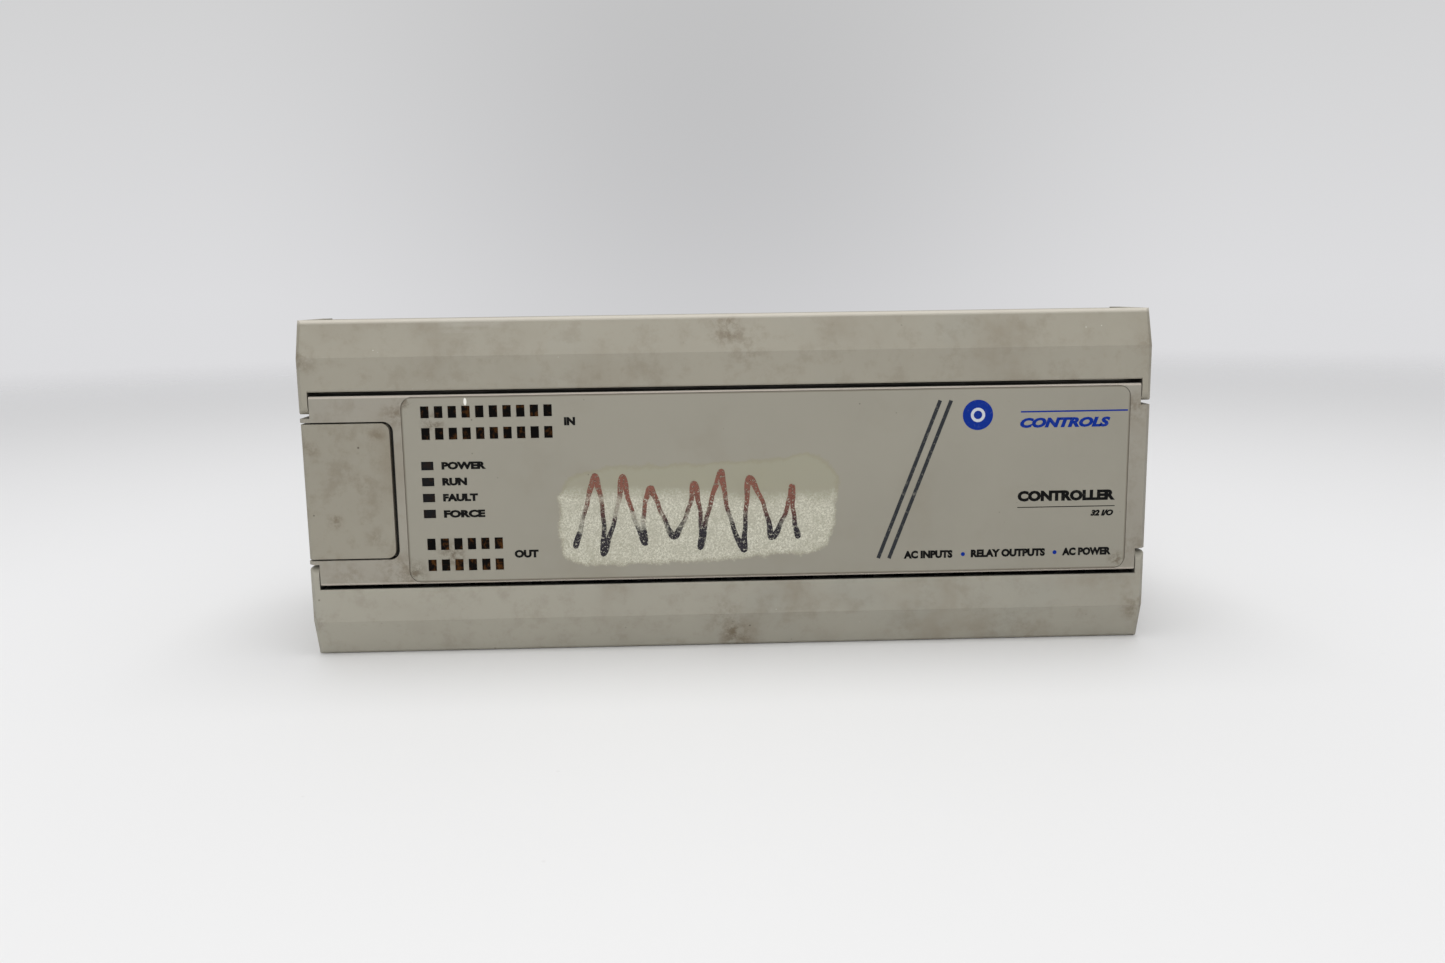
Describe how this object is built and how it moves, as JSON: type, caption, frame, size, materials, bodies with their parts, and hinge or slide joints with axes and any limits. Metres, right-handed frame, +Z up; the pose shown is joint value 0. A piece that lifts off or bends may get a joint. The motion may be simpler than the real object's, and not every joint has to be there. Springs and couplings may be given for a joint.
{
  "type": "plc module",
  "caption": "Compact programmable controller: grey case for rail or panel, two hinged terminal covers with screw terminals, indicator windows, hinged port door, sprung rail latch.",
  "frame": {"origin": "centre of the case's length and depth, at its lowest point", "axes": "+X along the case to the right seen from the front, +Y from the front panel to the mounting plane, +Z up"},
  "size_m": [0.2, 0.073, 0.08],
  "materials": {
    "housing_plastic": "fine grained, aged grey",
    "cover_plastic": "fine grained, aged grey",
    "label_film": "printed overlay, satin",
    "paper_label": "plain",
    "window_plastic": "smoked, clouded",
    "lamp_resin": "clear resin",
    "black_plastic": "satin",
    "latch_plastic": "satin",
    "plated_steel": "zinc plated",
    "spring_steel": "bright",
    "tinned_brass": "tinned",
    "gilt_contact": "gilt",
    "green_board": "solder mask",
    "tan_board": "bare laminate",
    "chip_resin": "moulded resin",
    "can_metal": "drawn",
    "relay_plastic": "white",
    "resistor_coat": "lacquered",
    "varistor_coat": "dipped",
    "ferrite": "sintered",
    "winding_tape": "polyester tape",
    "copper_wire": "enamelled copper",
    "capacitor_sleeve": "shrunk sleeve",
    "film_case": "moulded",
    "sink_metal": "extruded",
    "fuse_glass": "clear",
    "ribbon_pvc": "grey ribbon",
    "insulator_film": "pressboard"
  },
  "bodies": {
    "controller": {"rear_housing": "housing_plastic", "front_housing": "housing_plastic", "front_label": "label_film", "rating_label": "paper_label", "latch_spring": "spring_steel", "input_light_guide": "window_plastic", "output_light_guide": "window_plastic", "status_light_guide": "window_plastic", "input_leds": "lamp_resin", "output_leds": "lamp_resin", "status_leds": "lamp_resin", "input_terminal_base": "black_plastic", "input_terminal_barriers": "black_plastic", "input_terminal_screws": "plated_steel", "input_clamp_plates": "plated_steel", "input_terminal_tags": "tinned_brass", "output_terminal_base": "black_plastic", "output_terminal_barriers": "black_plastic", "output_terminal_screws": "plated_steel", "output_clamp_plates": "plated_steel", "output_terminal_tags": "tinned_brass", "logic_board": "green_board", "processor_chip": "chip_resin", "memory_chips": "chip_resin", "crystal": "can_metal", "board_header": "black_plastic", "comm_socket_body": "black_plastic", "comm_socket_shield": "plated_steel", "comm_socket_contacts": "gilt_contact", "io_board": "green_board", "output_relays": "relay_plastic", "input_optocouplers": "chip_resin", "input_resistors": "resistor_coat", "output_varistors": "varistor_coat", "power_board": "tan_board", "transformer_core": "ferrite", "transformer_winding": "winding_tape", "choke_core": "ferrite", "choke_winding": "copper_wire", "bulk_capacitors": "capacitor_sleeve", "filter_capacitors": "capacitor_sleeve", "line_capacitor": "film_case", "bridge_rectifier": "chip_resin", "heat_sink": "sink_metal", "power_transistor": "chip_resin", "transistor_screw": "plated_steel", "fuse_clips": "plated_steel", "fuse": "fuse_glass", "board_standoffs": "tinned_brass", "board_screws": "plated_steel", "supply_ribbon": "ribbon_pvc", "ribbon_sockets": "black_plastic", "insulator_sheet": "insulator_film"},
    "top_cover": {"top_terminal_cover": "cover_plastic", "input_wiring_label": "paper_label"},
    "bottom_cover": {"bottom_terminal_cover": "cover_plastic", "output_wiring_label": "paper_label"},
    "port_door": {"comm_door": "cover_plastic"},
    "latch": {"din_latch": "latch_plastic"}
  },
  "joints": [
    {"name": "top_cover_hinge", "type": "hinge", "parent": "controller", "child": "top_cover", "pos_m": [0, -0.0343, 0.0605], "axis": [1, 0, 0], "range_deg": [0, 100]},
    {"name": "bottom_cover_hinge", "type": "hinge", "parent": "controller", "child": "bottom_cover", "pos_m": [0, -0.0343, 0.0195], "axis": [-1, 0, 0], "range_deg": [0, 100]},
    {"name": "port_door_hinge", "type": "hinge", "parent": "controller", "child": "port_door", "pos_m": [-0.09895, -0.0272, 0.04], "axis": [0, 0, -1], "range_deg": [0, 100]},
    {"name": "latch_slide", "type": "slide", "parent": "controller", "child": "latch", "axis": [0, 0, -1], "range_m": [0, 0.003], "stiffness_N_per_m": 1200, "springref_m": -0.002, "deforming": ["latch_spring"]}
  ]
}
